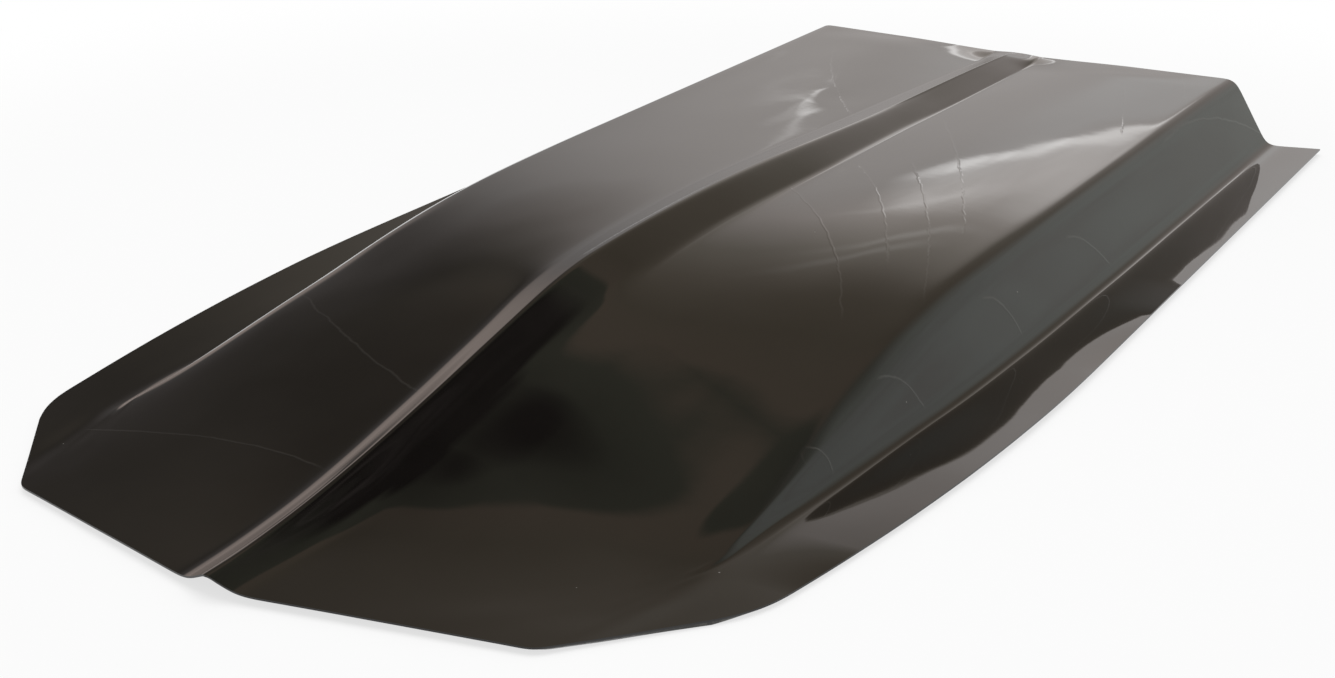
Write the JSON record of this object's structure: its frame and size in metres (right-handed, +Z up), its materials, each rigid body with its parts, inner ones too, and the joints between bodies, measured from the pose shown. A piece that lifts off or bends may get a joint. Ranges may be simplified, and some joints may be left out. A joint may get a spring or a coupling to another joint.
{
  "type": "bonnet scoop",
  "caption": "Long low bonnet scoop: a thin moulded skin with a ramped nose, a rib along the middle, sloping side walls, a flat bonding flange and an open rear end.",
  "frame": {"origin": "middle of the flange's footprint, on the underside of the flange", "axes": "+X across the bonnet, +Y back towards the open rear end, +Z up"},
  "size_m": [0.531, 1, 0.0746],
  "materials": {
    "gelcoat": "glossy black-brown gelcoat with faint print-through of the mat under it, on a glass-fibre laminate"
  },
  "bodies": {
    "root": {"bonnet_scoop": "gelcoat"}
  },
  "joints": []
}
